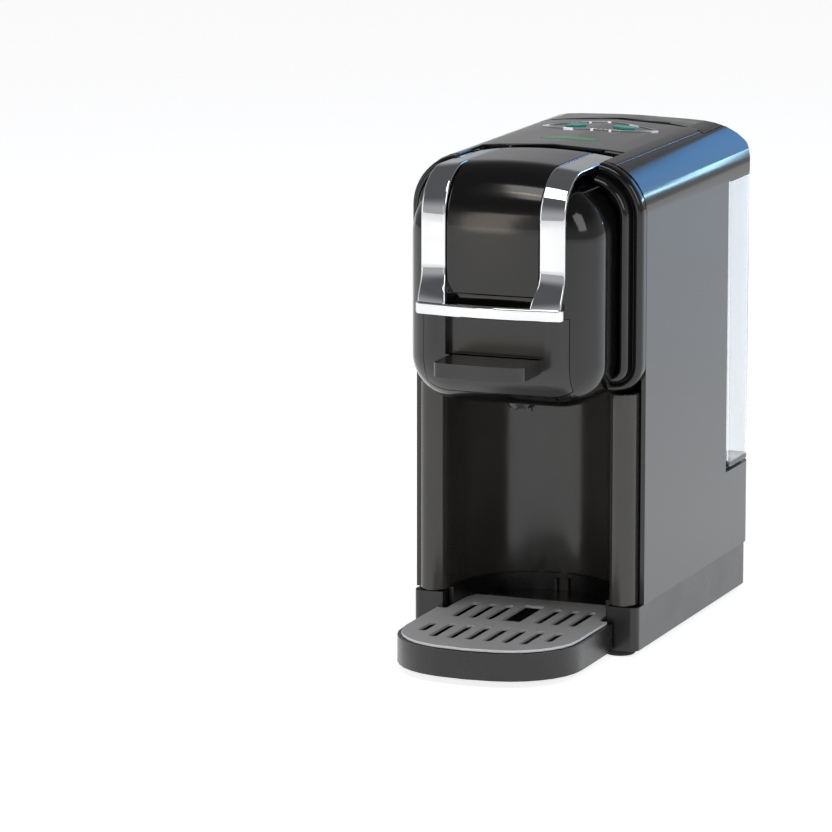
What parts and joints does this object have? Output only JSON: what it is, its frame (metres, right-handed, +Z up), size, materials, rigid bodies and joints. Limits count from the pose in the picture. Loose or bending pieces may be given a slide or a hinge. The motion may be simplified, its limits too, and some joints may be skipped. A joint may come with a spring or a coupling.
{
  "type": "pod coffee machine",
  "caption": "Narrow countertop capsule coffee machine with lifting lever hood, pull-out pod drawer, cup bay, drip tray with steel grid and clear rear water tank.",
  "frame": {"origin": "on the counter, under the middle of the machine", "axes": "+Z up, -Y is the front that the user faces, +X is the right side seen from behind the front"},
  "size_m": [0.122, 0.2666, 0.2517],
  "materials": {
    "shell_grey": "satin painted ABS side shells",
    "gloss_black": "high-gloss black ABS",
    "drawer_black": "fine-textured black moulding",
    "base_black": "black moulded base",
    "lever_chrome": "bright chrome plating",
    "grid_steel": "brushed stainless sheet",
    "small_steel": "bright steel pins, cup and screws",
    "tank_clear": "clear moulded copolyester",
    "panel_lens": "smoked lens",
    "panel_trim": "thin bright trim",
    "button_teal": "translucent teal button, lit from behind",
    "light_green": "green status lens",
    "rubber": "black rubber",
    "aluminium": "cast and pressed aluminium",
    "natural": "natural nylon",
    "board": "printed circuit board",
    "hose": "food-grade silicone hose"
  },
  "bodies": {
    "body": {"side_shell_left": "shell_grey", "side_shell_right": "shell_grey", "top_cover": "gloss_black", "control_panel": "panel_lens", "panel_trim": "panel_trim", "status_light": "light_green", "rear_cover": "base_black", "tank_shelf": "base_black", "rear_panel": "shell_grey", "switch_frame": "base_black", "cord_inlet": "rubber", "base_pan": "base_black", "foot_front_left": "rubber", "foot_front_right": "rubber", "foot_rear_left": "rubber", "foot_rear_right": "rubber", "base_screw_front_left": "small_steel", "base_screw_front_right": "small_steel", "base_screw_rear_left": "small_steel", "base_screw_rear_right": "small_steel", "cup_bay": "gloss_black", "front_frame": "gloss_black", "head_housing": "gloss_black", "coffee_spout": "drawer_black", "piston_guide": "natural", "hinge_bracket": "aluminium", "inner_frame": "aluminium", "pump": "base_black", "pump_mount": "rubber", "boiler": "aluminium", "boiler_bracket": "small_steel", "control_board": "board", "flow_meter": "natural", "tank_socket": "rubber", "hose_tank": "hose", "hose_pump": "hose", "pipe_boiler": "hose", "pipe_brew": "hose"},
    "lever": {"lever_band": "lever_chrome", "lever_hood": "gloss_black", "lever_pin": "small_steel"},
    "piston": {"brew_piston": "aluminium"},
    "drawer": {"pod_drawer": "drawer_black", "pod_cup": "small_steel"},
    "tank": {"water_tank": "tank_clear", "tank_valve": "base_black"},
    "float": {"level_float": "natural"},
    "lid": {"tank_lid": "gloss_black", "lid_pin": "small_steel"},
    "tray": {"drip_tray": "base_black"},
    "grid": {"drip_grid": "grid_steel"},
    "small_cup_button": {"button_small_cup": "button_teal"},
    "large_cup_button": {"button_large_cup": "button_teal"},
    "rocker": {"power_switch": "drawer_black"}
  },
  "joints": [
    {"name": "lever_lift", "type": "hinge", "parent": "body", "child": "lever", "pos_m": [0, -0.02146, 0.2395], "axis": [-1, 0, 0], "range_deg": [0, 55]},
    {"name": "piston_lift", "type": "slide", "parent": "body", "child": "piston", "axis": [0, 0, 1], "range_m": [0, 0.01]},
    {"name": "drawer_slide", "type": "slide", "parent": "body", "child": "drawer", "axis": [0, -1, 0], "range_m": [0, 0.045]},
    {"name": "tank_pull", "type": "slide", "parent": "body", "child": "tank", "axis": [0, 1, 0], "range_m": [0, 0.05]},
    {"name": "float_rise", "type": "slide", "parent": "tank", "child": "float", "axis": [0, 0, 1], "range_m": [0, 0.1]},
    {"name": "lid_open", "type": "hinge", "parent": "body", "child": "lid", "pos_m": [0, 0.09404, 0.2443], "axis": [1, 0, 0], "range_deg": [0, 80]},
    {"name": "tray_slide", "type": "slide", "parent": "body", "child": "tray", "axis": [0, -1, 0], "range_m": [0, 0.12]},
    {"name": "grid_lift", "type": "slide", "parent": "tray", "child": "grid", "axis": [0, 0, 1], "range_m": [0, 0.06]},
    {"name": "small_cup_press", "type": "slide", "parent": "body", "child": "small_cup_button", "axis": [0, 0, -1], "range_m": [0, 0.001], "stiffness_N_per_m": 300},
    {"name": "large_cup_press", "type": "slide", "parent": "body", "child": "large_cup_button", "axis": [0, 0, -1], "range_m": [0, 0.001], "stiffness_N_per_m": 300},
    {"name": "power_rock", "type": "hinge", "parent": "body", "child": "rocker", "pos_m": [0.026, 0.12854, 0.046], "axis": [1, 0, 0], "range_deg": [0, 9]}
  ],
  "couplings": [
    {"joint": "piston_lift", "follows": "lever_lift", "m_per_rad": 0.0104}
  ]
}
